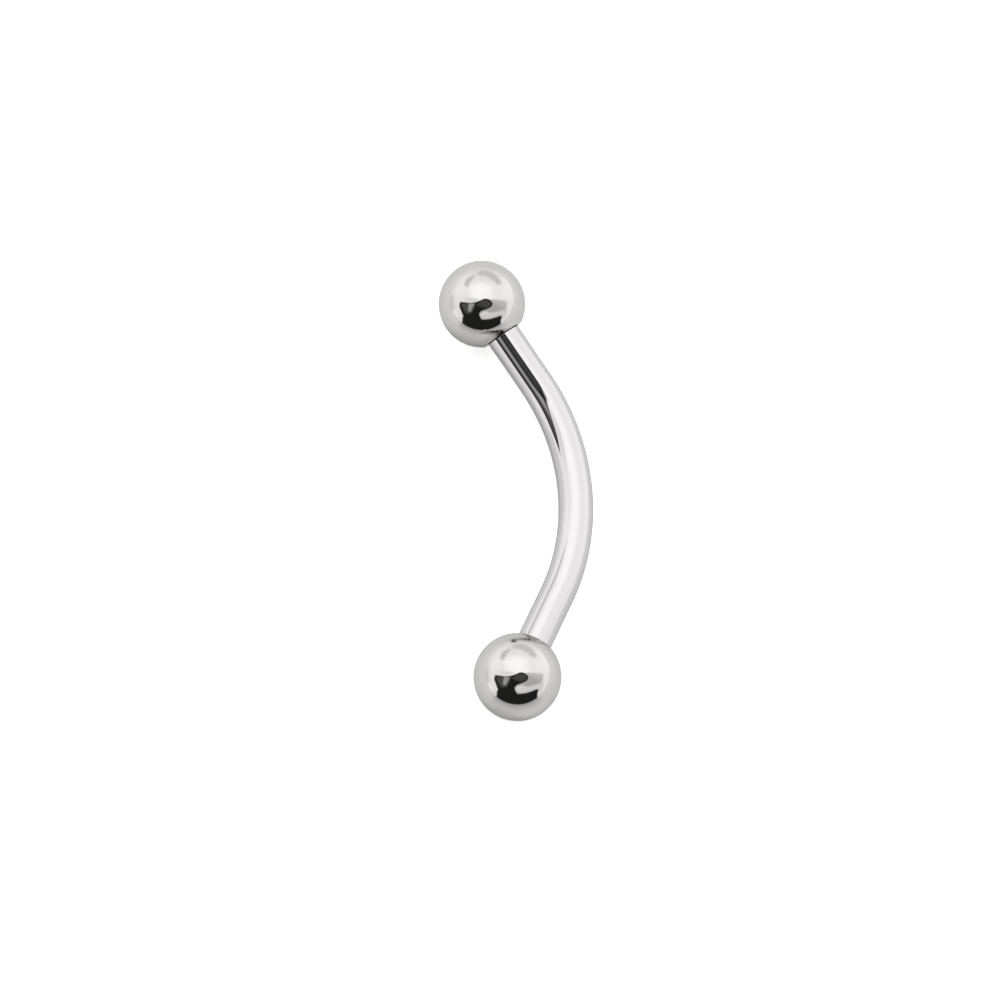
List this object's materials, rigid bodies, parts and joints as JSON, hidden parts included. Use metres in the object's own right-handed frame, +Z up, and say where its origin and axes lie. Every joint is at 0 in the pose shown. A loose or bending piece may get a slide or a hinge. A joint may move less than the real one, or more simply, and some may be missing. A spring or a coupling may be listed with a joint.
{
  "type": "curved barbell",
  "caption": "Curved barbell for a body piercing: a bent round bar of polished surgical steel with a plain ball that screws on at each end.",
  "frame": {"origin": "on the surface that the piece lies on, below the middle of its bounding box", "axes": "+Z up; +Y from the front ball to the back ball; +X towards the bulge of the bend, whose middle touches the surface as both balls do"},
  "size_m": [0.0046, 0.0162, 0.003],
  "materials": {
    "bar_steel": "drawn surgical stainless steel, bent and mirror polished, with no plating",
    "ball_steel": "turned surgical stainless steel, mirror polished, with no plating"
  },
  "bodies": {
    "bar": {"curved_bar": "bar_steel"},
    "back_ball": {"back_ball": "ball_steel"},
    "front_ball": {"front_ball": "ball_steel"}
  },
  "joints": [
    {"name": "back_ball_off", "type": "slide", "parent": "bar", "child": "back_ball", "axis": [-0.4866, 0.8572, 0.1687], "range_m": [0, 0.003]},
    {"name": "front_ball_off", "type": "slide", "parent": "bar", "child": "front_ball", "axis": [-0.4866, -0.8572, 0.1687], "range_m": [0, 0.003]}
  ]
}
